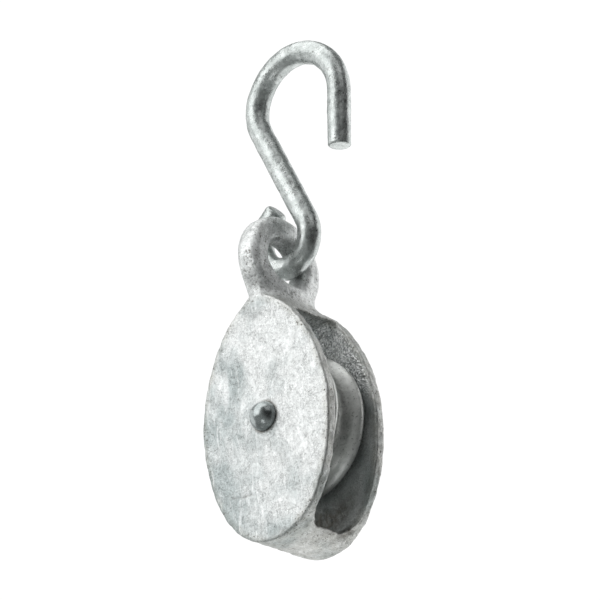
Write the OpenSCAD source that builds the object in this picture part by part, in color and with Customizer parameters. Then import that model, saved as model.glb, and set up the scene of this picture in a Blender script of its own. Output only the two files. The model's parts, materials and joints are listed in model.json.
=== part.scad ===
// Galvanised single-sheave pulley block, hung from a round-bar S-hook.
// +Z is up. The origin is the hook's throat, where the hook bears on what holds it.
// +Y is the axle's direction, and the hook's plane is the XZ plane through the origin.
// The block hangs with its axle at AXLE, and the shell's modules are drawn about that point.

/* [Hook] */
// Diameter of the round bar
bar_d = 8; // [7:0.5:8]
// Centre-line radius of the upper bend
top_bend_r = 18.5; // [17:0.5:21]
// Centre-line radius where the upper bend runs into the shank
side_bend_r = 15; // [13:0.5:18]
// Centre-line radius of the closed lower loop
loop_r = 10.5; // [10.5:0.1:11]
// Turn of the upper bend from its top down to the tail
tail_turn = 96; // [88:0.5:100]
// Turn of the upper bend from its top towards the shank
top_turn = 58.5; // [56:0.5:62]
// Turn of the side bend
side_turn = 55; // [52:0.5:57]
// Turn of the lower loop
loop_turn = 255.5; // [250:0.5:256]
// Straight length of the tail
tail_len = 19.5; // [10:0.5:24]
// Straight length between the upper bend and the side bend
side_len = 0.5; // [0.5:0.5:2]
// Straight length of the shank
shank_len = 40.5; // [40:0.5:42]
// Straight length after the lower loop
loop_end_len = 4.9; // [2:0.1:5]

/* [Place of the block] */
// Height of the throat above the axle
axle_drop = 129.4; // [129:0.1:130]
// Distance from the throat back to the axle, along X
axle_back = 11.1; // [11:0.1:11.3]
// Distance from the hook's plane to the middle of the shell, along Y
axle_side = 4.3; // [3.8:0.1:4.5]

/* [Shell] */
// Width of the cheeks
cheek_w = 55.2; // [54:0.2:60]
// Height of the cheeks above and below the axle
cheek_h = 43.4; // [43:0.1:44]
// Squareness of the upper half of the outline, where 2 is an ellipse
top_power = 1.74; // [1.7:0.02:2]
// Squareness of the lower half of the outline
bottom_power = 2.13; // [2:0.02:2.3]
// Thickness over both cheeks
shell_t = 28; // [27:0.2:30]
// Thickness of one cheek
cheek_t = 3.7; // [3:0.1:4]
// Thickness of the bridge under the sheave
foot_t = 3.4; // [3:0.1:5]
// Height of the crown's underside above the axle
crown_z = 36; // [34:0.5:37]
// Corner radius at the bottom of the slot
slot_bottom_r = 5; // [3:0.5:7]
// Corner radius at the top of the slot
slot_top_r = 2; // [1:0.5:3]

/* [Eye] */
// Height of the eye's centre above the axle
eye_z = 58; // [57.5:0.1:58.5]
// Outside radius of the eye
eye_r = 17; // [16.8:0.1:17]
// Radius of the eye's hole
eye_hole_r = 8.6; // [8.6:0.1:9]
// Thickness of the eye along X
eye_t = 9; // [8:0.1:9]
// Rounding of the eye's section
eye_round = 3; // [1:0.5:4]
// Width of the neck along X
neck_w = 16; // [14:0.5:18]

/* [Sheave] */
// Outside diameter of the sheave
sheave_d = 50; // [46:1:52]
// Width over the two flanges
rim_w = 17; // [16:0.5:18]
// Rounding of each flange's crest
crest_r = 2.1; // [1.5:0.1:2.3]
// Radius of the rope groove
groove_r = 5; // [4.5:0.1:6]
// Diameter of the hub bosses
hub_d = 15; // [12:0.5:18]
// Running gap between each hub boss and its cheek
hub_gap = 0.3; // [0.2:0.05:0.6]
// Thickness of the web between hub and rim
web_t = 11; // [8:0.5:13]
// Radial depth of the rim measured in from the flange crests
rim_depth = 7.5; // [6:0.5:9]

/* [Axle rivet] */
// Diameter of the rivet's shank
rivet_d = 6; // [5:0.5:8]
// Radial running clearance of the sheave on the rivet
rivet_clearance = 0.06; // [0.03:0.01:0.1]
// Diameter of the domed head
head_d = 10.2; // [9:0.2:12]
// Height of the domed head
head_h = 5; // [3:0.1:5.2]
// Diameter of the end that is hammered over
peen_d = 9; // [8:0.2:11]
// Height of the end that is hammered over
peen_h = 2; // [1.5:0.1:3]

/* [Hidden] */
$fn = 96;

// Overlap of each straight with the bends at its ends, and how much thinner a bend is.
lap = 0.05;
bend_thinning = 0.02;

AXLE = [-axle_back, -axle_side, -axle_drop];
slot_t = shell_t - 2 * cheek_t;
slot_floor = -cheek_h + foot_t;
eye_mid_r = (eye_r + eye_hole_r) / 2;
eye_bar = eye_r - eye_hole_r;
taper_from = eye_z - eye_hole_r - 5;
taper_to = eye_z - 2;
hub_t = slot_t - 2 * hub_gap;
crest_y = rim_w / 2 - crest_r;
crest_at = sheave_d / 2 - crest_r;
groove_at = crest_at + sqrt(pow(groove_r + crest_r, 2) - crest_y * crest_y);
groove_half = asin(crest_y / (groove_r + crest_r));
zinc = [0.72, 0.74, 0.75];

// Points on an arc, from one angle to another, both ends included.
function arc(centre, radius, from, to, steps) = [
    for (i = [0 : steps])
    let (a = from + (to - from) * i / steps)
    centre + radius * [cos(a), sin(a)]
];

// One coordinate of a superellipse of half-width 1, from the cosine or sine of its angle.
function squarish(value, power) = sign(value) * pow(abs(value), 2 / power);

// The cheek's outline in X and Z: pointed at the crown and fuller at the foot.
function cheek_outline(steps = 120) = [
    for (i = [0 : steps - 1])
    let (a = 360 * i / steps, power = a < 180 ? top_power : bottom_power)
    [cheek_w / 2 * squarish(cos(a), power), cheek_h * squarish(sin(a), power)]
];

// Extrudes a shape drawn in X and Z by a length along Y, with its middle at Y = 0.
module along_y(length) {
    rotate([90, 0, 0])
        linear_extrude(height = length, center = true)
            children();
}

// Extrudes a shape drawn in Y and Z by a length along X, with its middle at X = 0.
module along_x(length) {
    rotate([90, 0, 90])
        linear_extrude(height = length, center = true)
            children();
}

// Turns a shape drawn as radius and Y about the Y axis.
module turned() {
    rotate([-90, 0, 0])
        rotate_extrude()
            children();
}

// A rectangle with round corners, centred on the origin.
module rounded_rectangle(size, radius) {
    square([size.x - 2 * radius, size.y], center = true);
    square([size.x, size.y - 2 * radius], center = true);
    for (x = [-1, 1], y = [-1, 1])
        translate([x * (size.x / 2 - radius), y * (size.y / 2 - radius)])
            circle(r = radius);
}

// ---- S-hook ----

// One bend of the bar, turned from one angle to another about the origin.
// Bends are a hair thinner than the straights, as bent bar is, so that each end is a clean step.
module bend(radius, from, to) {
    rotate([0, 0, from])
        rotate_extrude(angle = to - from)
            translate([radius, 0])
                circle(d = bar_d - bend_thinning);
}

// Each step of the bar is [straight length, bend radius, turn], with a left turn positive.
// Draws the first step along +X from the origin, then the others from that step's end.
module bar(steps, first = 0) {
    if (first < len(steps)) {
        length = steps[first][0];
        radius = steps[first][1];
        turn = steps[first][2];
        side = sign(turn);
        translate([-lap, 0, 0])
            rotate([0, 90, 0])
                cylinder(h = length + (turn == 0 ? lap : 2 * lap), d = bar_d);
        if (turn != 0)
            translate([length, side * radius, 0]) {
                bend(radius, side > 0 ? -90 : 90 + turn, side > 0 ? turn - 90 : 90);
                rotate([0, 0, turn])
                    translate([0, -side * radius, 0])
                        bar(steps, first + 1);
            }
    }
}

// Drawn in X and Y about the upper bend's centre, then stood up so that Y becomes Z.
module s_hook() {
    color(zinc)
        translate([0, 0, bar_d / 2 - top_bend_r])
            rotate([90, 0, 0]) {
                bend(top_bend_r, 90 - tail_turn, 90 + top_turn);
                rotate([0, 0, -tail_turn])
                    translate([0, top_bend_r, 0])
                        bar([[tail_len, 0, 0]]);
                rotate([0, 0, top_turn])
                    translate([0, top_bend_r, 0])
                        rotate([0, 0, 180])
                            bar([
                                [side_len, side_bend_r, side_turn],
                                [shank_len, loop_r, -loop_turn],
                                [loop_end_len, 0, 0]
                            ]);
            }
}

// ---- Shell ----

// The slot that the sheave runs in, drawn in Y and Z, with a rounder floor than top.
module slot_section() {
    bottom = slot_floor + slot_bottom_r;
    top = crown_z - slot_top_r;
    translate([-slot_t / 2, bottom])
        square([slot_t, top - bottom]);
    for (side = [-1, 1]) {
        translate([side * (slot_t / 2 - slot_bottom_r), bottom])
            circle(r = slot_bottom_r);
        translate([side * (slot_t / 2 - slot_top_r), top])
            circle(r = slot_top_r);
    }
    translate([-slot_t / 2 + slot_bottom_r, slot_floor])
        square([slot_t - 2 * slot_bottom_r, 2 * slot_bottom_r]);
    translate([-slot_t / 2 + slot_top_r, top - slot_top_r])
        square([slot_t - 2 * slot_top_r, 2 * slot_top_r]);
}

// The neck's plan: an ellipse as wide as the shell is thick.
function neck_outline(steps = 72) = [
    for (i = [0 : steps - 1])
    let (a = 360 * i / steps)
    [neck_w / 2 * cos(a), shell_t / 2 * sin(a)]
];

// An elliptical column on the crown that thins along X towards the eye.
module neck() {
    intersection() {
        translate([0, 0, crown_z])
            linear_extrude(height = taper_to - crown_z)
                polygon(neck_outline());
        along_y(2 * shell_t)
            polygon([
                [-neck_w, crown_z],
                [neck_w, crown_z],
                [neck_w / 2, taper_from],
                [eye_t / 2, taper_to],
                [-eye_t / 2, taper_to],
                [-neck_w / 2, taper_from]
            ]);
    }
}

module eye_ring() {
    translate([0, 0, eye_z])
        rotate([0, 90, 0])
            rotate_extrude()
                translate([eye_mid_r, 0])
                    rounded_rectangle([eye_bar, eye_t], eye_round);
}

module shell() {
    color(zinc)
        translate(AXLE)
            difference() {
                union() {
                    difference() {
                        along_y(shell_t)
                            polygon(cheek_outline());
                        along_x(2 * cheek_w)
                            slot_section();
                    }
                    difference() {
                        neck();
                        translate([0, 0, eye_z])
                            rotate([0, 90, 0])
                                cylinder(h = 2 * neck_w, r = eye_hole_r, center = true);
                    }
                    eye_ring();
                }
                rotate([90, 0, 0])
                    cylinder(h = 2 * shell_t, d = rivet_d, center = true);
            }
}

// ---- Sheave ----

// One half of the sheave's section as [radius, Y], from the bore's face to the groove's bottom.
function sheave_half() = concat(
    [
        [rivet_d / 2 + rivet_clearance, hub_t / 2],
        [hub_d / 2, hub_t / 2],
        [hub_d / 2, web_t / 2],
        [sheave_d / 2 - rim_depth, web_t / 2],
        [sheave_d / 2 - rim_depth, rim_w / 2]
    ],
    arc([crest_at, crest_y], crest_r, 90, 90 - 180 + groove_half, 10),
    arc([groove_at, 0], groove_r, 180 - groove_half, 180, 8)
);

module sheave() {
    half = sheave_half();
    other = [for (i = [len(half) - 2 : -1 : 0]) [half[i].x, -half[i].y]];
    color([0.5, 0.51, 0.52])
        translate(AXLE)
            turned()
                polygon(concat(half, other));
}

// ---- Axle rivet ----

// A domed cap on the plane Y = 0, bulging towards +Y.
module dome(diameter, height) {
    radius = (diameter * diameter / 4 + height * height) / (2 * height);
    intersection() {
        translate([0, height - radius, 0])
            sphere(r = radius);
        rotate([-90, 0, 0])
            cylinder(h = height, d = diameter);
    }
}

module axle_rivet() {
    color([0.8, 0.81, 0.83])
        translate(AXLE) {
            rotate([90, 0, 0])
                cylinder(h = shell_t, d = rivet_d, center = true);
            translate([0, shell_t / 2, 0])
                dome(peen_d, peen_h);
            mirror([0, 1, 0])
                translate([0, shell_t / 2, 0])
                    dome(head_d, head_h);
        }
}

s_hook();
shell();
sheave();
axle_rivet();
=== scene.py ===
"""Looks for a galvanised single-sheave pulley block that hangs from an S-hook.

The casting is built as one implicit surface, so that its eye, neck and crown flow into each other
as they do in a casting. The hook is a swept bar, and the sheave and the rivet are turned sections.
Lengths are in millimetres and become metres when a mesh is made. They start at the axle for the
block's pieces and at the throat for the hook. Panels, floor and clipping are given in metres.
"""
import json
import math

import bpy
import numpy as np
from mathutils import Matrix, Vector


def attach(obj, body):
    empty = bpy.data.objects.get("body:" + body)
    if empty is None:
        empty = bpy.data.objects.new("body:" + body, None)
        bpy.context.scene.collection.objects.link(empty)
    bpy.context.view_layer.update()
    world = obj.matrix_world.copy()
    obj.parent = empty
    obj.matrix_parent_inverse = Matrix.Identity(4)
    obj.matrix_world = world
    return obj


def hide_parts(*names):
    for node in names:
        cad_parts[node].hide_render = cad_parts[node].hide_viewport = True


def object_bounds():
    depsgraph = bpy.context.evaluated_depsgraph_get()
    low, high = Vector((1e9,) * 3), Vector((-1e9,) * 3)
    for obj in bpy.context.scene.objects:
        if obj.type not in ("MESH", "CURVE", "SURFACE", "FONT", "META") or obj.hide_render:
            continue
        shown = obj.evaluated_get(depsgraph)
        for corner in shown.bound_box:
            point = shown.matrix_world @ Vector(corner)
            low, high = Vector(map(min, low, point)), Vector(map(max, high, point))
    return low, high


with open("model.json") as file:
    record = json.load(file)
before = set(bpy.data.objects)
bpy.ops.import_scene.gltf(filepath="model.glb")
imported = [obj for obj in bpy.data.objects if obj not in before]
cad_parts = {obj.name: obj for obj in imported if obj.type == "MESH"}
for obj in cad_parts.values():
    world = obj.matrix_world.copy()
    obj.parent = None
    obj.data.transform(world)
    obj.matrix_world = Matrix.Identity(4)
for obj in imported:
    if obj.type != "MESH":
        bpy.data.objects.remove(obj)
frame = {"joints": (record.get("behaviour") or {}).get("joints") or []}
CAD_LOW, CAD_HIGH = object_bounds()

MM = 0.001
JOINTS = {joint["name"]: joint for joint in frame["joints"]}
AXLE = np.array(JOINTS["sheave_spin"]["pos_m"]) / MM  # the axle's middle, from the throat

# ---- Sizes that the CAD model uses, in millimetres ----

CHEEK_HALF_W = 27.6
CHEEK_H = 43.4
TOP_POWER = 1.74
BOTTOM_POWER = 2.13
SHELL_T = 28.0
SLOT_T = 20.6
SLOT_FLOOR = -40.0
SLOT_BOTTOM_R = 5.0
SLOT_TOP_R = 2.0
CROWN_Z = 36.0
EYE_Z = 58.0
EYE_R = 17.0
EYE_HOLE_R = 8.6
EYE_T = 9.0
EYE_ROUND = 3.0
NECK_W = 16.0
SHEAVE_R = 25.0
RIM_W = 17.0
CREST_R = 2.1
GROOVE_R = 5.0
HUB_R = 7.5
HUB_T = 20.0
WEB_T = 11.0
RIM_DEPTH = 7.5
BORE_R = 3.06
RIVET_R = 3.0
HEAD_R = 5.1
HEAD_H = 5.0
PEEN_R = 4.5
PEEN_H = 2.0
BAR_R = 4.0
TOP_BEND_R = 18.5
SIDE_BEND_R = 15.0
LOOP_R = 10.5
TAIL_TURN = 96.0
TOP_TURN = 58.5
SIDE_TURN = 55.0
LOOP_TURN = 255.5
TAIL_LEN = 19.5
SIDE_LEN = 0.5
SHANK_LEN = 40.5
LOOP_END_LEN = 4.9

# ---- Looks only ----

CHEEK_EDGE_R = 0.65  # rounding of the cheeks' outer edges
RIM_EDGE_R = 0.55    # rounding of the slot's edges
NECK_FILLET = 3.2    # where the neck meets the crown
NECK_MIDDLE_Z = 46.5
NECK_HALF_H = 9.5
NECK_END_R = 1.5     # rounding of the neck column's two ends
EYE_FILLET = 3.0     # where the eye meets the neck
EYE_CLEARANCE = 0.7  # how far the neck stays back from the eye's hole
EYE_MOUTH_R = 2.5    # rounding of the neck where the eye's hole cuts it
RIVET_GAP = 0.02     # between the casting and the rivet's shank
TAIL_END_R = 0.7     # rounding of the bar's open end
LOOP_END_R = 1.3     # rounding of the bar's end at the closed loop
BORE_CHAMFER = 0.4
HUB_CORNER_R = 0.8
WEB_FILLET = 1.2
RIM_CORNER_R = 0.6
POLE_GAP = 3.0       # degrees from a dome's pole to its last ring

# ---- Fineness of the meshes ----

GRID = 0.5           # spacing of the grid that the casting's surface is found on
GRID_MARGIN = 1.2    # how far that grid reaches past the casting
LEAST_SLOPE = 0.2    # keeps a point from jumping where the distance is nearly flat
BAR_STEP = 0.5
SHEAVE_STEP = 0.8
SHANK_STEP = 1.0
HOOK_SEGMENTS = 64
SHEAVE_SEGMENTS = 224
RIVET_SEGMENTS = 96
TINY = 1e-6          # keeps a division or a power away from zero


# ---- Noise ----

SCATTER_X, SCATTER_Y, SCATTER_Z = 374761393, 668265263, 2147483647
SCATTER_SEED, STIR = 974634777, 1274126177
LOW_32_BITS = 0xFFFFFFFF
HALF_RANGE = 0x7FFFFFFF


def lattice_value(ix, iy, iz, seed):
    """A fixed pseudo-random number from -1 to 1 for each whole-number point."""
    code = ix * SCATTER_X + iy * SCATTER_Y + iz * SCATTER_Z + seed * SCATTER_SEED
    code = code & LOW_32_BITS
    code = ((code ^ (code >> 13)) * STIR) & LOW_32_BITS
    code = (code ^ (code >> 16)) & LOW_32_BITS
    return code.astype(np.float64) / HALF_RANGE - 1.0


def noise(points, size, seed=0):
    """Smooth noise from -1 to 1 whose lumps are about `size` across. `size` may be one per axis.

    Each use has a seed of its own, so that no two patterns line up.
    """
    p = points / np.asarray(size, float)
    base = np.floor(p).astype(np.int64)
    t = p - base
    t = t * t * t * (t * (t * 6 - 15) + 10)
    total = np.zeros(len(p))
    for dx in (0, 1):
        wx = t[:, 0] if dx else 1 - t[:, 0]
        for dy in (0, 1):
            wy = t[:, 1] if dy else 1 - t[:, 1]
            for dz in (0, 1):
                wz = t[:, 2] if dz else 1 - t[:, 2]
                corner = lattice_value(base[:, 0] + dx, base[:, 1] + dy, base[:, 2] + dz, seed)
                total += wx * wy * wz * corner
    return total


def layered(points, size, seed, layers=3):
    """Noise with finer layers on top, each half the size and about half the height."""
    size = np.asarray(size, float)
    return sum(noise(points, size / 2**i, seed + i) * 0.55**i for i in range(layers))


def smooth_step(value, low, high):
    """0 below `low`, 1 above `high`, and a smooth rise between them."""
    t = np.clip((value - low) / (high - low), 0, 1)
    return t * t * (3 - 2 * t)


def bell(u, v=0.0):
    """1 where both numbers are 0, falling smoothly away from there."""
    return np.exp(-u**2 - v**2)


# ---- Distances, for the casting ----

def round_both(a, b, radius):
    """The overlap of two solids, with the edge between them rounded."""
    u, v = np.maximum(radius + a, 0), np.maximum(radius + b, 0)
    return np.minimum(-radius, np.maximum(a, b)) + np.hypot(u, v)


def round_join(a, b, radius):
    """Two solids joined, with a fillet between them."""
    u, v = np.maximum(radius - a, 0), np.maximum(radius - b, 0)
    return np.maximum(radius, np.minimum(a, b)) - np.hypot(u, v)


def rounded_box(u, v, half_u, half_v, radius):
    """Distance to a rectangle with round corners, centred on the origin."""
    qu, qv = np.abs(u) - half_u + radius, np.abs(v) - half_v + radius
    outside = np.hypot(np.maximum(qu, 0), np.maximum(qv, 0))
    return outside + np.minimum(np.maximum(qu, qv), 0) - radius


def cheek_distance(x, z):
    """Distance to the cheeks' outline: pointed at the crown and fuller at the foot."""
    power = np.where(z > 0, TOP_POWER, BOTTOM_POWER)
    u, v = np.abs(x) / CHEEK_HALF_W + TINY, np.abs(z) / CHEEK_H + TINY
    g = (u**power + v**power) ** (1 / power)
    slope_x = u ** (power - 1) * g ** (1 - power) / CHEEK_HALF_W
    slope_z = v ** (power - 1) * g ** (1 - power) / CHEEK_H
    return (g - 1) / np.hypot(slope_x, slope_z)


def slot_distance(y, z):
    """Distance to the outline of the slot that the sheave turns in."""
    middle, half = (CROWN_Z + SLOT_FLOOR) / 2, (CROWN_Z - SLOT_FLOOR) / 2
    radius = np.where(z > middle, SLOT_TOP_R, SLOT_BOTTOM_R)
    return rounded_box(y, z - middle, SLOT_T / 2, half, radius)


def neck_distance(x, y, z):
    """An elliptical column that thins along X towards the eye."""
    half_x = NECK_W / 2 - (NECK_W - EYE_T) / 2 * smooth_step(z, 43.0, 58.0)
    half_y = SHELL_T / 2 - 0.3 - 1.2 * smooth_step(z, 40.0, 50.0)
    reach = np.hypot(x / half_x, y / half_y) + TINY
    slope = np.hypot(x / half_x**2, y / half_y**2) + TINY
    side = reach * (reach - 1) / slope
    return round_both(side, np.abs(z - NECK_MIDDLE_Z) - NECK_HALF_H, NECK_END_R)


def casting_distance(p):
    """Distance to the plain casting, before its cast surface."""
    x, y, z = p[:, 0], p[:, 1], p[:, 2]
    body = round_both(cheek_distance(x, z), np.abs(y) - SHELL_T / 2, CHEEK_EDGE_R)
    body = round_both(body, -slot_distance(y, z), RIM_EDGE_R)
    body = round_join(body, neck_distance(x, y, z), NECK_FILLET)
    from_eye = np.hypot(y, z - EYE_Z)
    body = round_both(body, EYE_HOLE_R + EYE_CLEARANCE - from_eye, EYE_MOUTH_R)
    middle, half = (EYE_R + EYE_HOLE_R) / 2, (EYE_R - EYE_HOLE_R) / 2
    eye = rounded_box(x, from_eye - middle, EYE_T / 2, half, EYE_ROUND)
    body = round_join(body, eye, EYE_FILLET)
    return np.maximum(body, RIVET_R + RIVET_GAP - np.hypot(x, z))


def pit_depth(p):
    """Pits on the eye's lower leg and base, from 0 for none to 1 for the deepest."""
    y, z = p[:, 1], p[:, 2]
    leg = smooth_step(-y, 3, 8) * smooth_step(z, 39, 44) * smooth_step(-z, -63, -53)
    base = smooth_step(z, 40, 43) * smooth_step(-z, -52, -47)
    crackle = np.abs(noise(p, 1.6, 20)) + 0.5 * np.abs(noise(p, 0.9, 22))
    return smooth_step(-crackle, -0.26, -0.08) * np.maximum(leg, 0.7 * base)


def scratch_mark(x, y, z):
    """A fine curved scratch low on the front cheek, 1 along its middle."""
    across = np.abs(np.hypot(x + 9.0, z + 4.0) - 21.0)
    return smooth_step(-across, -0.45, 0.0) * (np.abs(x + 12.7) < 4.5) * (z < 0) * (y < 0)


def cast_surface(p):
    """How far the cast and dipped surface stands out from the plain casting, in millimetres."""
    x, y, z = p[:, 0], p[:, 1], p[:, 2]
    eye = smooth_step(z, 38, 46)
    rim = smooth_step(cheek_distance(x, z), -1.2, -0.2) * (1 - eye)
    lumps = 0.16 * noise(p, 10.0, 11) + 0.07 * noise(p, 4.0, 12) + 0.03 * noise(p, 1.7, 13)
    runs = 0.07 * noise(p, (2.6, 2.6, 12.0), 16) + 0.03 * noise(p, (1.3, 1.3, 5.0), 17)
    rough = 0.07 * noise(p, 1.5, 14) + 0.10 * noise(p, 4.5, 15)
    rim_lumps = 0.16 * noise(p, 2.6, 18) + 0.09 * noise(p, 1.3, 19)
    front = (y < 0) * (1 - eye)
    dent = bell((x + 17.0) / 1.8, (z - 17.6) / 6.0) * front
    scratch = scratch_mark(x, y, z)
    height = (lumps + runs) * (1 - 0.4 * eye) + rough * eye + rim_lumps * rim
    return height - 0.24 * pit_depth(p) - 0.22 * dent - 0.16 * scratch


def shell_distance(p):
    """Distance to the casting with its cast surface."""
    return casting_distance(p) - cast_surface(p)


# ---- Surface from a distance function ----

CORNERS = np.array([(i, j, k) for i in (0, 1) for j in (0, 1) for k in (0, 1)])
EDGES = [(a, b) for a in range(8) for b in range(a + 1, 8)
         if np.abs(CORNERS[a] - CORNERS[b]).sum() == 1]


def sample_grid(distance, low, high, step):
    """The distance at each point of a grid, one slice at a time."""
    axes = [np.arange(low[i], high[i] + step, step) for i in range(3)]
    yy, zz = np.meshgrid(axes[1], axes[2], indexing="ij")
    values = np.empty([len(a) for a in axes], np.float32)
    for i, x in enumerate(axes[0]):
        slice_points = np.column_stack([np.full(yy.size, x), yy.ravel(), zz.ravel()])
        values[i] = distance(slice_points).reshape(yy.shape)
    return values


def surface_net(values, low, step):
    """Vertices and quads of the zero surface, one vertex in each cell that it crosses."""
    inside = values < 0
    cells = tuple(n - 1 for n in values.shape)
    count = np.zeros(cells, np.int8)
    for i, j, k in CORNERS:
        count += inside[i:i + cells[0], j:j + cells[1], k:k + cells[2]]
    crossed = np.argwhere((count > 0) & (count < 8))
    index = np.full(cells, -1, np.int64)
    index[tuple(crossed.T)] = np.arange(len(crossed))
    corner_values = np.stack([values[tuple((crossed + c).T)] for c in CORNERS], axis=1)
    total, hits = np.zeros((len(crossed), 3)), np.zeros(len(crossed))
    for a, b in EDGES:
        va, vb = corner_values[:, a], corner_values[:, b]
        cut = (va < 0) != (vb < 0)
        t = np.where(cut, va / np.where(cut, va - vb, 1), 0)
        total += cut[:, None] * (CORNERS[a] + t[:, None] * (CORNERS[b] - CORNERS[a]))
        hits += cut
    points = (crossed + total / hits[:, None]) * step + np.asarray(low)
    quads = []
    for axis in range(3):
        u, v = (axis + 1) % 3, (axis + 2) % 3
        ahead = [slice(None)] * 3
        ahead[axis] = slice(1, None)
        behind = [slice(None)] * 3
        behind[axis] = slice(None, -1)
        first = inside[tuple(behind)]
        changes = np.argwhere(first != inside[tuple(ahead)])
        changes = changes[(changes[:, u] > 0) & (changes[:, v] > 0)]
        leaving = first[tuple(changes.T)]
        ring = []
        # The four cells round the edge, in turn, are the corners of its quad.
        for du, dv in ((1, 1), (0, 1), (0, 0), (1, 0)):
            cell = changes.copy()
            cell[:, u] -= du
            cell[:, v] -= dv
            ring.append(index[tuple(cell.T)])
        ring = np.stack(ring, axis=1)
        ring[~leaving] = ring[~leaving][:, ::-1]
        quads.append(ring)
    return points, np.concatenate(quads)


def gradient(distance, p, step=0.05):
    """The direction and rate in which the distance grows at each point."""
    slopes = []
    for axis in np.eye(3) * step:
        slopes.append((distance(p + axis) - distance(p - axis)) / (2 * step))
    return np.column_stack(slopes)


def settle(distance, p, passes=3):
    """Moves points onto the zero surface."""
    for _ in range(passes):
        g = gradient(distance, p)
        p = p - g * (distance(p) / np.maximum((g * g).sum(1), LEAST_SLOPE))[:, None]
    return p


# ---- Meshes ----

def new_piece(name, points, faces, body, node, masks=None):
    """A smooth piece from points in millimetres, riding on its body in place of its CAD node.

    Masks are numbers from 0 to 1 for each point, by name, that the piece's material reads.
    """
    mesh = bpy.data.meshes.new(name)
    mesh.from_pydata((np.asarray(points) * MM).tolist(), [], [list(map(int, f)) for f in faces])
    mesh.polygons.foreach_set("use_smooth", [True] * len(mesh.polygons))
    for mask, values in (masks or {}).items():
        mesh.attributes.new(mask, "FLOAT", "POINT").data.foreach_set("value", values)
    piece = bpy.data.objects.new(name, mesh)
    bpy.context.scene.collection.objects.link(piece)
    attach(piece, body)
    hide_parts(node)
    return piece


def ring_faces(rings, segments, closed_ends=True):
    """Quads between rings of points that follow each other, with a fan of triangles at each end."""
    faces = []
    for i in range(rings - 1):
        for j in range(segments):
            k = (j + 1) % segments
            a, b = i * segments, (i + 1) * segments
            faces.append((a + j, a + k, b + k, b + j))
    if closed_ends:
        first, last = rings * segments, rings * segments + 1
        end = (rings - 1) * segments
        for j in range(segments):
            k = (j + 1) % segments
            faces.append((first, k, j))
            faces.append((last, end + j, end + k))
    return faces


def resample(points, spacing):
    """The same line with a point about every `spacing`, its own points kept."""
    out = [points[0]]
    for a, b in zip(points[:-1], points[1:]):
        steps = max(1, math.ceil(math.dist(a, b) / spacing))
        out += [tuple(a[i] + (b[i] - a[i]) * s / steps for i in range(len(a)))
                for s in range(1, steps + 1)]
    return out


def arc(centre, radius, start, end, steps):
    """Points along an arc, from one angle in degrees to another."""
    angles = [math.radians(start + (end - start) * i / steps) for i in range(steps + 1)]
    return [(centre[0] + radius * math.cos(a), centre[1] + radius * math.sin(a)) for a in angles]


# ---- The four pieces ----

def shell_masks(p):
    """Where the casting is cheek, rim, slot or eye, where it is dulled, polished or dirty, and where
    shade, a shadow and light are painted on it.
    """
    x, y, z = p[:, 0], p[:, 1], p[:, 2]
    eye = smooth_step(z, 39, 45)
    face = smooth_step(np.abs(y), SHELL_T / 2 - 0.7, SHELL_T / 2 - 0.25) * (1 - eye)
    outline = cheek_distance(x, z)
    edge = smooth_step(outline + 0.8 * noise(p, 3.0, 61), -3.2, -0.6) * (1 - eye)
    slot = smooth_step(-slot_distance(y, z), -0.9, -0.1) * smooth_step(-outline, 0.6, 1.6)
    depth = smooth_step(-outline, 1.5, 9.0)
    # Painted shade: the slot is darker towards its bottom and deeper inside, and lighter at its top
    # and near its rim.
    shade = (1 - 0.8 * smooth_step(z, -8, 18)) * (0.35 + 0.65 * depth)
    # Spangle on the rear cheek's inner face near the top, where it also stands for painted light.
    spangle_and_painted_light = slot * smooth_step(z, 2, 14) * (y > 0)
    # Painted shadow: a dark ring on the cheek faces round the rivet's head.
    ring = smooth_step(-np.hypot(x, z), -6.4, -4.9) * face
    # Painted shade on the slot's floor, darker deeper inside.
    floor = slot * smooth_step(-z, 22, 32) * smooth_step(y, -5, 3) * (0.15 + 0.85 * depth)
    lip = bell((z + 39.5) / 2.0) * smooth_step(y, -10, 2) * smooth_step(-np.abs(y), -12.5, -10)
    stain = lip * smooth_step(noise(p, 2.4, 63), -0.3, 0.15)
    scratch = scratch_mark(x, y, z)
    patches = 0.5 + 0.42 * layered(p, (11, 11, 16), 62)
    dull = patches + 0.30 * smooth_step(-x, 4, 22) - 0.22 * smooth_step(x, 0, 18)
    dull = np.clip(dull * (1 - 0.7 * eye), 0, 1)
    polish = 0.75 * bell((x + 16.6 - 0.06 * z) / 1.9, (z - 14) / 9.0)
    polish += 0.8 * bell((x - 15.5 + 0.30 * (z + 14)) / 0.8, (z + 14) / 6.0)
    return {
        "face": face,
        "edge": edge,
        "polish": polish * face * (y < 0),
        # The slot's painted shade.
        "slot": slot * shade,
        "eye": eye,
        "dull": dull,
        "spangle_and_painted_light": spangle_and_painted_light,
        "pit": pit_depth(p),
        "grime_and_painted_shade": np.maximum.reduce([floor, ring, stain, 0.6 * scratch]),
    }


def make_shell():
    low = (-CHEEK_HALF_W - GRID_MARGIN, -EYE_R - GRID_MARGIN, -CHEEK_H - GRID_MARGIN)
    high = (CHEEK_HALF_W + GRID_MARGIN, EYE_R + GRID_MARGIN, EYE_Z + EYE_R + GRID_MARGIN)
    points, quads = surface_net(sample_grid(shell_distance, low, high, GRID), low, GRID)
    points = settle(shell_distance, points)
    return new_piece("cast_shell", points + AXLE, quads, "block", "shell",
                     shell_masks(points))


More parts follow.
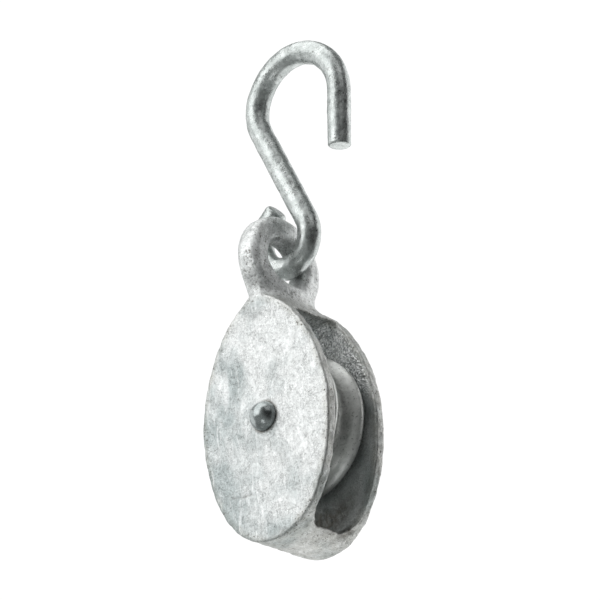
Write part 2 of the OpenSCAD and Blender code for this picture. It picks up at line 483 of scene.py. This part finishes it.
def bar_path():
    """Points along the hook's centre line in X and Z, with the heading at each, from the tail."""
    heading = math.radians(180 - TAIL_TURN)
    apex = BAR_R - TOP_BEND_R
    end = math.radians(90 - TAIL_TURN)
    x, z = TOP_BEND_R * math.cos(end), apex + TOP_BEND_R * math.sin(end)
    x, z = x - TAIL_LEN * math.cos(heading), z - TAIL_LEN * math.sin(heading)
    path = [(x, z, heading)]

    def go(length, radius=0.0, turn=0.0):
        """Heads straight on by a length, or round a bend where the length is 0."""
        nonlocal x, z, heading
        total = length if length else radius * math.radians(abs(turn))
        count = max(1, round(total / BAR_STEP))
        bend = math.radians(turn) / count
        stride = length / count if length else 2 * radius * math.sin(abs(bend) / 2)
        for _ in range(count):
            x += stride * math.cos(heading + bend / 2)
            z += stride * math.sin(heading + bend / 2)
            heading += bend
            path.append((x, z, heading))

    go(TAIL_LEN)
    go(0, TOP_BEND_R, TAIL_TURN + TOP_TURN)
    go(SIDE_LEN)
    go(0, SIDE_BEND_R, SIDE_TURN)
    go(SHANK_LEN)
    go(0, LOOP_R, -LOOP_TURN)
    go(LOOP_END_LEN)
    return path


def bar_ring(x, z, heading, radius):
    """A circle of points across the bar. Angle 0 is the bar's left side as it heads on."""
    a = np.linspace(0, 2 * np.pi, HOOK_SEGMENTS, endpoint=False)
    side = np.array([-math.sin(heading), 0, math.cos(heading)])
    across = np.array([0, -1.0, 0])
    return np.array([x, 0, z]) + radius * (np.cos(a)[:, None] * side + np.sin(a)[:, None] * across)


def bar_end(x, z, heading, sign, edge):
    """Rings from the middle of a cut end out round its edge, as (x, z, heading, radius).

    `sign` is 1 where the end faces the way that the bar heads, and -1 where it faces back.
    """
    ax, az = math.cos(heading) * sign, math.sin(heading) * sign
    steps = [(r, 0.0) for r in (0.5, 1.2, 1.9, 2.6, BAR_R - edge)]
    steps += [(BAR_R - edge + edge * math.sin(t), -edge + edge * math.cos(t))
              for t in np.radians([25, 50, 75])]
    return [(x + ax * d, z + az * d, heading, r) for r, d in steps]


def make_hook():
    path = bar_path()
    start, end = path[0], path[-1]
    # The ends' own rings stand in for the first and last few of the path.
    rows = bar_end(*start, -1, TAIL_END_R)
    rows += [(x, z, heading, BAR_R) for x, z, heading in path[2:-3]]
    rows += bar_end(*end, 1, LOOP_END_R)[::-1]
    points = np.concatenate([bar_ring(*row) for row in rows])
    middles = np.array([(x, 0, z) for x, z, _, _ in rows], float)
    centres = np.repeat(middles, HOOK_SEGMENTS, axis=0)
    outward = points - centres
    outward /= np.linalg.norm(outward, axis=1)[:, None]
    lumps = 0.08 * noise(points, 7.0, 31) + 0.08 * noise(points, 2.9, 32)
    lumps += 0.04 * noise(points, 1.3, 33)
    points = points + outward * lumps[:, None]
    poles = np.array([(start[0], 0, start[1]), (end[0], 0, end[1])], float)
    points = np.concatenate([points, poles])
    faces = ring_faces(len(rows), HOOK_SEGMENTS)
    return new_piece("hook_bar", points, faces, "hook", "s_hook")


def turned(profile, segments):
    """Points of a section of (radius, Y) turned about the Y axis, one ring after another."""
    a = np.linspace(0, 2 * np.pi, segments, endpoint=False)
    return np.concatenate([np.column_stack([r * np.cos(a), np.full(segments, y), r * np.sin(a)])
                           for r, y in profile])


def closed_section_faces(rings, segments):
    """Quads between rings of which the last joins on to the first."""
    faces = ring_faces(rings + 1, segments, closed_ends=False)
    return [tuple(v % (rings * segments) for v in face) for face in faces]


def sheave_half():
    """One half of the sheave's section as (radius, Y), from the bore out to the groove's bottom."""
    crest_y, crest_at = RIM_W / 2 - CREST_R, SHEAVE_R - CREST_R
    groove_at = crest_at + math.sqrt((GROOVE_R + CREST_R) ** 2 - crest_y**2)
    groove_half = math.degrees(math.asin(crest_y / (GROOVE_R + CREST_R)))
    inner = SHEAVE_R - RIM_DEPTH
    fillet_y = WEB_T / 2 + WEB_FILLET
    half = [(BORE_R, HUB_T / 2 - BORE_CHAMFER), (BORE_R + BORE_CHAMFER, HUB_T / 2)]
    half += arc((HUB_R - HUB_CORNER_R, HUB_T / 2 - HUB_CORNER_R), HUB_CORNER_R, 90, 0, 4)
    half += arc((HUB_R + WEB_FILLET, fillet_y), WEB_FILLET, 180, 270, 5)
    half += arc((inner - WEB_FILLET, fillet_y), WEB_FILLET, 270, 360, 5)
    half += arc((inner + RIM_CORNER_R, RIM_W / 2 - RIM_CORNER_R), RIM_CORNER_R, 180, 90, 4)
    half += arc((crest_at, crest_y), CREST_R, 90, -90 + groove_half, 12)
    half += arc((groove_at, 0), GROOVE_R, 180 - groove_half, 180, 8)
    return half


def make_sheave():
    half = sheave_half()
    profile = half + [(r, -y) for r, y in half[-2::-1]]
    profile = resample(profile, SHEAVE_STEP)
    points = turned(profile, SHEAVE_SEGMENTS)
    faces = closed_section_faces(len(profile), SHEAVE_SEGMENTS)
    radial = np.column_stack([points[:, 0], np.zeros(len(points)), points[:, 2]])
    radius = np.linalg.norm(radial, axis=1)
    free = smooth_step(radius, HUB_R + 1, HUB_R + 4)
    lumps = 0.06 * noise(points, 5.0, 41) + 0.035 * noise(points, 1.9, 42)
    crest = smooth_step(radius, SHEAVE_R - 3.2, SHEAVE_R - 1.2)
    points = points + radial / radius[:, None] * (lumps * free)[:, None]
    return new_piece("sheave_wheel", points + AXLE, faces, "sheave", "sheave",
                     {"crest": crest})


def dome(radius, height, steps):
    """A domed end as (radius, height above its seat), from the seat's edge up to near the pole."""
    ball = (radius**2 + height**2) / (2 * height)
    reach = math.degrees(math.acos(min(1.0, (ball - height) / ball)))
    if height > ball:
        reach = 180 - reach
    top = height - ball
    return [(ball * math.sin(math.radians(t)), top + ball * math.cos(math.radians(t)))
            for t in np.linspace(reach, POLE_GAP, steps)]


def make_rivet():
    seat = SHELL_T / 2
    head = [(r, -seat - h) for r, h in dome(HEAD_R, HEAD_H, 22)][::-1]
    peen = [(r, seat + h) for r, h in dome(PEEN_R, PEEN_H, 14)]
    shank = resample([(RIVET_R, -seat), (RIVET_R, seat)], SHANK_STEP)
    profile = head + shank + peen
    points = turned(profile, RIVET_SEGMENTS)
    back = smooth_step(points[:, 1], seat + 0.1, seat + 1.2)
    points[:, 1] += back * (0.12 * noise(points, 1.9, 51) + 0.06 * noise(points, 0.9, 52))
    points = np.concatenate([points, [(0, -seat - HEAD_H, 0), (0, seat + PEEN_H, 0)]])
    faces = [face[::-1] for face in ring_faces(len(profile), RIVET_SEGMENTS)]
    return new_piece("rivet", points + AXLE, faces, "block", "axle_rivet")


# ---- Materials ----

MIX_FACTOR, MIX_A, MIX_B, MIX_RESULT = 0, 6, 7, 2  # the Mix node's sockets when it mixes colours


class Nodes:
    """A material's node tree, with a short call for each kind of node it needs."""

    def __init__(self, name):
        self.material = bpy.data.materials.new(name)
        self.material.use_nodes = True
        self.tree = self.material.node_tree
        self.shader = self.tree.nodes["Principled BSDF"]
        self.place = self.tree.nodes.new("ShaderNodeTexCoord").outputs["Object"]

    def link(self, output, socket):
        self.tree.links.new(output, socket)

    def mask(self, name):
        """One of the masks that the mesh carries."""
        node = self.tree.nodes.new("ShaderNodeAttribute")
        node.attribute_name = name
        return node.outputs["Fac"]

    def stretched(self, scale, shift=0.0):
        """The object's coordinates, multiplied by one number for each axis and moved."""
        node = self.tree.nodes.new("ShaderNodeMapping")
        node.inputs["Scale"].default_value = scale
        node.inputs["Location"].default_value = (shift, shift, shift)
        self.link(self.place, node.inputs["Vector"])
        return node.outputs["Vector"]

    def noise(self, size_mm, detail=3.0, roughness=0.55, place=None, distortion=0.0):
        node = self.tree.nodes.new("ShaderNodeTexNoise")
        node.inputs["Scale"].default_value = 1 / (size_mm * MM)
        node.inputs["Detail"].default_value = detail
        node.inputs["Roughness"].default_value = roughness
        node.inputs["Distortion"].default_value = distortion
        self.link(place or self.place, node.inputs["Vector"])
        return node.outputs["Fac"]

    def cells(self, size_mm):
        node = self.tree.nodes.new("ShaderNodeTexVoronoi")
        node.inputs["Scale"].default_value = 1 / (size_mm * MM)
        self.link(self.place, node.inputs["Vector"])
        return node.outputs["Distance"]

    def ramp(self, value, *stops):
        """A colour ramp through stops of (place, grey) or (place, (r, g, b))."""
        node = self.tree.nodes.new("ShaderNodeValToRGB")
        elements = node.color_ramp.elements
        while len(elements) < len(stops):
            elements.new(0.5)
        for element, (position, colour) in zip(elements, stops):
            colour = (colour,) * 3 if isinstance(colour, (int, float)) else colour
            element.position = position
            element.color = (*colour, 1)
        self.link(value, node.inputs["Fac"])
        return node.outputs["Color"]

    def mix(self, blend, factor, a, b):
        node = self.tree.nodes.new("ShaderNodeMix")
        node.data_type = "RGBA"
        node.blend_type = blend
        if isinstance(factor, (int, float)):
            node.inputs[MIX_FACTOR].default_value = factor
        else:
            self.link(factor, node.inputs[MIX_FACTOR])
        for value, socket in ((a, node.inputs[MIX_A]), (b, node.inputs[MIX_B])):
            if isinstance(value, bpy.types.NodeSocket):
                self.link(value, socket)
            else:
                colour = (value,) * 3 if isinstance(value, (int, float)) else value
                socket.default_value = (*colour, 1)
        return node.outputs[MIX_RESULT]

    def times(self, a, b):
        return self.mix("MULTIPLY", 1.0, a, b)

    def bump(self, height, depth_mm, strength=1.0, under=None):
        node = self.tree.nodes.new("ShaderNodeBump")
        node.inputs["Strength"].default_value = strength
        node.inputs["Distance"].default_value = depth_mm * MM
        self.link(height, node.inputs["Height"])
        if under is not None:
            self.link(under, node.inputs["Normal"])
        return node.outputs["Normal"]

    def finish(self, colour, roughness, normal, metallic):
        self.link(colour, self.shader.inputs["Base Color"])
        self.link(roughness, self.shader.inputs["Roughness"])
        self.link(normal, self.shader.inputs["Normal"])
        self.shader.inputs["Metallic"].default_value = metallic
        return self.material


def speckle(n, size_mm, low, high):
    """Small sparse marks: 1 on a mark, 0 between them."""
    return n.ramp(n.noise(size_mm, 2, 0.5), (low, 0.0), (high, 1.0))


def cast_zinc():
    """The casting: bright mottled zinc with runs down its cheeks and dark pits on rims and eye."""
    bright, dulled = (0.90, 0.915, 0.91), (0.53, 0.58, 0.58)
    run, polished = (0.93, 0.94, 0.94), (0.95, 0.96, 0.96)
    worn_tint, slot_shade_tint = (0.70, 0.69, 0.66), (0.68, 0.70, 0.70)
    grime_and_shade_colour, pit_colour, deep_pit = (0.11, 0.10, 0.085), (0.13, 0.12, 0.10), (0.20, 0.20, 0.185)
    n = Nodes("cast_zinc")
    face, edge, slot, eye = n.mask("face"), n.mask("edge"), n.mask("slot"), n.mask("eye")

    # Mottled zinc, and the runs and polished streaks on the cheeks
    dull = n.ramp(n.mask("dull"), (0.35, 0.0), (0.85, 1.0))
    colour = n.mix("MIX", dull, bright, dulled)
    cloud = n.ramp(n.noise(3.6, 5, 0.65, distortion=1.2), (0.40, 0.86), (0.58, 1.0))
    colour = n.mix("MULTIPLY", 0.8, colour, cloud)
    grain = n.ramp(n.noise(0.55, 6, 0.85), (0.40, 0.42), (0.58, 1.0))
    grain_depth = n.ramp(n.noise(6.0, 3, 0.6), (0.35, 0.35), (0.65, 1.0))
    colour = n.mix("MULTIPLY", grain_depth, colour, grain)
    runs = n.ramp(n.noise(2.2, 4, 0.6, n.stretched((1, 1, 0.22)), 1.2), (0.54, 0.0), (0.70, 0.6))
    colour = n.mix("MIX", n.times(runs, face), colour, run)
    colour = n.mix("MIX", n.ramp(n.mask("polish"), (0.25, 0.0), (0.8, 0.75)), colour, polished)

    # Worn rims, painted shade in the slot, spangle with painted light at its top, and grime with
    # painted shade and a painted shadow
    worn_at = n.times(edge, n.ramp(n.noise(3.2, 4, 0.6), (0.35, 0.45), (0.60, 1.0)))
    worn_at = n.times(worn_at, n.ramp(face, (0, 1.0), (1, 0.75)))
    colour = n.mix("MIX", worn_at, colour, n.times(colour, worn_tint))
    # Painted shade inside the slot.
    colour = n.mix("MIX", slot, colour, n.times(colour, slot_shade_tint))
    # Brighter flakes at the top of the slot: real spangle, and painted light where light falls.
    flakes = n.ramp(n.noise(0.7, 2, 0.5), (0.44, 0.75), (0.60, 1.7))
    colour = n.mix("MULTIPLY", n.mask("spangle_and_painted_light"), colour, flakes)
    # Real stains on the lip and the scratch, together with painted shade on the slot's floor and a
    # painted shadow round the rivet's head.
    grime_and_painted_shade = n.times(n.mask("grime_and_painted_shade"), n.ramp(n.noise(1.6, 4, 0.6), (0.3, 0.55), (0.6, 1.0)))
    colour = n.mix("MIX", grime_and_painted_shade, colour, grime_and_shade_colour)
    eye_patch = n.ramp(n.noise(3.0, 3, 0.6), (0.4, 1.08), (0.62, 0.92))
    colour = n.mix("MULTIPLY", eye, colour, eye_patch)

    # Dark pits, in clusters, most of them on the rims and the eye
    pits = speckle(n, 0.75, 0.61, 0.68)
    where = n.mix("ADD", 1.0, n.times(edge, 0.9), n.times(eye, 0.8))
    where = n.mix("ADD", 1.0, where, n.ramp(dull, (0.3, 0.12), (1.0, 0.45)))
    clusters = n.ramp(n.noise(5.0, 3, 0.6, n.stretched((1, 1, 1), 0.7)), (0.40, 0.15), (0.56, 1.0))
    where = n.times(where, clusters)
    colour = n.mix("MIX", n.times(pits, where), colour, pit_colour)
    colour = n.mix("MIX", n.ramp(n.mask("pit"), (0.2, 0.0), (0.9, 0.75)), colour, deep_pit)

    roughness = n.ramp(n.noise(1.8, 4, 0.65), (0.35, 0.28), (0.65, 0.55))
    skin = n.bump(n.noise(1.9, 5, 0.65, n.stretched((1, 1, 0.45))), 0.30, 0.9)
    skin = n.bump(n.noise(0.6, 4, 0.7), 0.12, 0.9, skin)
    skin = n.bump(n.ramp(pits, (0, 1.0), (1, 0.0)), 0.12, 0.5, skin)
    skin = n.bump(n.times(n.cells(0.8), n.mask("spangle_and_painted_light")), 0.5, 0.8, skin)
    return n.finish(colour, roughness, skin, 0.62)


def hook_zinc():
    """The bar: satin zinc with blotches and small dark specks."""
    bright, dulled, speck_colour = (0.66, 0.69, 0.68), (0.45, 0.48, 0.47), (0.14, 0.14, 0.13)
    n = Nodes("hook_zinc")
    blotch = n.ramp(n.noise(4.0, 4, 0.62, distortion=0.5), (0.38, 0.0), (0.64, 1.0))
    colour = n.mix("MIX", blotch, bright, dulled)
    colour = n.mix("MULTIPLY", 0.7, colour, n.ramp(n.noise(0.9, 4, 0.7), (0.36, 0.66), (0.6, 1.0)))
    patch = n.ramp(n.noise(5.5, 3, 0.6, n.stretched((1, 1, 1), 0.3)), (0.48, 0.12), (0.62, 0.9))
    specks = n.times(speckle(n, 0.55, 0.57, 0.64), patch)
    colour = n.mix("MIX", specks, colour, speck_colour)
    roughness = n.ramp(n.noise(1.8, 4, 0.6), (0.35, 0.24), (0.65, 0.40))
    skin = n.bump(n.noise(1.8, 4, 0.6), 0.20, 0.8)
    skin = n.bump(n.noise(0.6, 3, 0.6), 0.05, 0.6, skin)
    return n.finish(colour, roughness, skin, 0.8)


def sheave_zinc():
    """The sheave: dull grey zinc, a little darker in blotches and brighter on its crests."""
    bright, dulled = (0.56, 0.57, 0.55), (0.35, 0.36, 0.345)
    rubbed, speck_colour = (0.76, 0.77, 0.75), (0.1, 0.1, 0.09)
    n = Nodes("sheave_zinc")
    blotch = n.ramp(n.noise(4.5, 4, 0.62, distortion=0.5), (0.38, 0.0), (0.64, 1.0))
    colour = n.mix("MIX", blotch, bright, dulled)
    colour = n.mix("MULTIPLY", 0.7, colour, n.ramp(n.noise(0.9, 4, 0.7), (0.36, 0.7), (0.6, 1.0)))
    crest = n.times(n.mask("crest"), n.ramp(n.noise(2.2, 4, 0.6), (0.3, 1.0), (0.7, 0.5)))
    colour = n.mix("MIX", crest, colour, rubbed)
    colour = n.mix("MIX", n.times(speckle(n, 0.7, 0.62, 0.7), 0.6), colour, speck_colour)
    roughness = n.ramp(n.noise(1.8, 4, 0.6), (0.35, 0.38), (0.65, 0.55))
    skin = n.bump(n.noise(1.8, 4, 0.6), 0.12, 0.7)
    skin = n.bump(n.noise(0.6, 3, 0.6), 0.04, 0.6, skin)
    return n.finish(colour, roughness, skin, 0.7)


def rivet_steel():
    """The rivet: smooth grey metal with faint marks."""
    lighter, darker = (0.40, 0.43, 0.43), (0.29, 0.315, 0.315)
    n = Nodes("rivet_steel")
    blotch = n.ramp(n.noise(2.0, 4, 0.6), (0.4, 0.0), (0.65, 1.0))
    colour = n.mix("MIX", blotch, lighter, darker)
    roughness = n.ramp(n.noise(1.2, 4, 0.6), (0.35, 0.22), (0.65, 0.29))
    return n.finish(colour, roughness, n.bump(n.noise(0.9, 3, 0.6), 0.02, 0.5), 1.0)


def add_materials(shell, hook, sheave, rivet):
    shell.data.materials.append(cast_zinc())
    hook.data.materials.append(hook_zinc())
    sheave.data.materials.append(sheave_zinc())
    rivet.data.materials.append(rivet_steel())


# ---- Camera, light and floor ----

CAMERA_AZIMUTH = 40.1
CAMERA_ELEVATION = -22.4
CAMERA_ROLL = -5.07
CAMERA_DISTANCE = 2200.0         # millimetres from the axle
CAMERA_LENS = 398.9              # millimetres
SENSOR_WIDTH = 36.0              # millimetres
AIM_RIGHT, AIM_UP = 2.35, 41.83  # the point aimed at, from the axle, in the camera's directions
CLIP_NEAR, CLIP_FAR = 0.05, 50.0
FLOOR_Z = -2.8                   # far below, because the block hangs
FLOOR_HALF = 20.0
FLOOR_GREY = 0.3
FLOOR_GLOW = 0.7
BACKDROP = 1.05                  # how white the camera sees the world
SURROUND_TINT = (0.955, 1.0, 0.985)
DARK_SIDE = (0.95, -0.05, 0.3)   # the direction in which the surround is darkest
# The surround is `light` until a direction turns `start` towards the dark side, and `dark` at `end`.
SURROUND = {"start": 0.20, "end": 0.80, "light": 0.35, "dark": 0.05}


def direction_from(azimuth, elevation):
    """The direction at an azimuth and elevation in degrees. Azimuth 0 is -Y, and 90 is +X."""
    a, e = math.radians(azimuth), math.radians(elevation)
    return Vector((math.sin(a) * math.cos(e), -math.cos(a) * math.cos(e), math.sin(e)))


def camera_axes():
    """The camera's right, up and backward directions."""
    a, roll = math.radians(CAMERA_AZIMUTH), math.radians(CAMERA_ROLL)
    back = direction_from(CAMERA_AZIMUTH, CAMERA_ELEVATION)
    right = Vector((math.cos(a), math.sin(a), 0))
    up = back.cross(right)
    turned_right = math.cos(roll) * right + math.sin(roll) * up
    turned_up = math.cos(roll) * up - math.sin(roll) * right
    return turned_right, turned_up, back


def add_camera():
    """A long lens beside and below the block, aimed at a point above the axle."""
    right, up, back = camera_axes()
    data = bpy.data.cameras.new("camera")
    data.sensor_width = SENSOR_WIDTH
    data.lens = CAMERA_LENS
    data.clip_start, data.clip_end = CLIP_NEAR, CLIP_FAR
    place = Vector(AXLE * MM) + back * CAMERA_DISTANCE * MM
    ahead = (-back * CAMERA_DISTANCE + right * AIM_RIGHT + up * AIM_UP).normalized()
    new_right = ahead.cross(up).normalized()
    new_up = new_right.cross(ahead)
    turn = Matrix((new_right, new_up, -ahead)).transposed()
    camera = bpy.data.objects.new("camera", data)
    camera.matrix_world = Matrix.Translation(place) @ turn.to_4x4()
    bpy.context.scene.collection.objects.link(camera)
    bpy.context.scene.camera = camera


def add_panel(name, azimuth, elevation, distance, size, radiance):
    """A soft rectangular light that faces the object, of a size in metres."""
    middle = (CAD_LOW + CAD_HIGH) / 2
    away = direction_from(azimuth, elevation)
    data = bpy.data.lights.new(name, "AREA")
    data.shape = "RECTANGLE"
    data.size, data.size_y = size
    data.energy = radiance * math.pi * size[0] * size[1]
    light = bpy.data.objects.new(name, data)
    light.location = middle + away * distance
    light.rotation_euler = (-away).to_track_quat("-Z", "Y").to_euler()
    light.visible_camera = False
    bpy.context.scene.collection.objects.link(light)


def add_lights():
    add_panel("key", -22, 24, 1.5, (1.3, 1.3), 1.8)
    add_panel("left", -75, 5, 1.6, (1.4, 2.0), 0.85)
    add_panel("top", -30, 75, 1.4, (1.4, 1.4), 1.7)
    add_panel("back_left", -145, 10, 1.6, (1.6, 2.2), 0.6)
    add_panel("back_right", 157, 10, 1.6, (1.6, 2.2), 1.2)
    add_panel("below", -158, -46, 1.4, (1.8, 1.8), 0.98)
    add_panel("right_high", 70, 40, 1.4, (0.8, 0.8), 0.7)
    add_panel("low_front", 14, -56, 1.2, (0.3, 0.5), 1.8)


def add_world():
    """White behind the object, and for its reflections a grey surround that is darker at +X."""
    world = bpy.data.worlds.new("studio")
    world.use_nodes = True
    bpy.context.scene.world = world
    tree = world.node_tree
    seen = tree.nodes["Background"]
    seen.inputs["Color"].default_value = (1, 1, 1, 1)
    seen.inputs["Strength"].default_value = BACKDROP
    lit = tree.nodes.new("ShaderNodeBackground")
    lit.inputs["Color"].default_value = (*SURROUND_TINT, 1)
    direction = tree.nodes.new("ShaderNodeTexCoord").outputs["Generated"]
    towards_dark = tree.nodes.new("ShaderNodeVectorMath")
    towards_dark.operation = "DOT_PRODUCT"
    towards_dark.inputs[1].default_value = DARK_SIDE
    tree.links.new(direction, towards_dark.inputs[0])
    strength = tree.nodes.new("ShaderNodeMapRange")
    strength.interpolation_type = "SMOOTHSTEP"
    strength.inputs["From Min"].default_value = SURROUND["start"]
    strength.inputs["From Max"].default_value = SURROUND["end"]
    strength.inputs["To Min"].default_value = SURROUND["light"]
    strength.inputs["To Max"].default_value = SURROUND["dark"]
    tree.links.new(towards_dark.outputs["Value"], strength.inputs["Value"])
    tree.links.new(strength.outputs["Result"], lit.inputs["Strength"])
    rays = tree.nodes.new("ShaderNodeLightPath")
    mix = tree.nodes.new("ShaderNodeMixShader")
    tree.links.new(rays.outputs["Is Camera Ray"], mix.inputs[0])
    tree.links.new(lit.outputs[0], mix.inputs[1])
    tree.links.new(seen.outputs[0], mix.inputs[2])
    tree.links.new(mix.outputs[0], tree.nodes["World Output"].inputs["Surface"])


def add_floor():
    """A plain pale floor."""
    mesh = bpy.data.meshes.new("floor")
    corners = [(x * FLOOR_HALF, y * FLOOR_HALF, FLOOR_Z)
               for x, y in ((-1, -1), (1, -1), (1, 1), (-1, 1))]
    mesh.from_pydata(corners, [], [(0, 1, 2, 3)])
    floor = bpy.data.objects.new("floor", mesh)
    bpy.context.scene.collection.objects.link(floor)
    pale = bpy.data.materials.new("pale_floor")
    pale.use_nodes = True
    shader = pale.node_tree.nodes["Principled BSDF"]
    shader.inputs["Base Color"].default_value = (FLOOR_GREY, FLOOR_GREY, FLOOR_GREY, 1)
    shader.inputs["Roughness"].default_value = 0.9
    shader.inputs["Emission Color"].default_value = (1, 1, 1, 1)
    shader.inputs["Emission Strength"].default_value = FLOOR_GLOW
    mesh.materials.append(pale)
    # Hidden from bounced light, so that it doesn't light the object or shut out the surround.
    floor.visible_diffuse = False
    floor.visible_glossy = False


bpy.context.scene.view_settings.view_transform = "Standard"
add_camera()
add_world()
add_lights()
add_floor()
add_materials(make_shell(), make_hook(), make_sheave(), make_rivet())
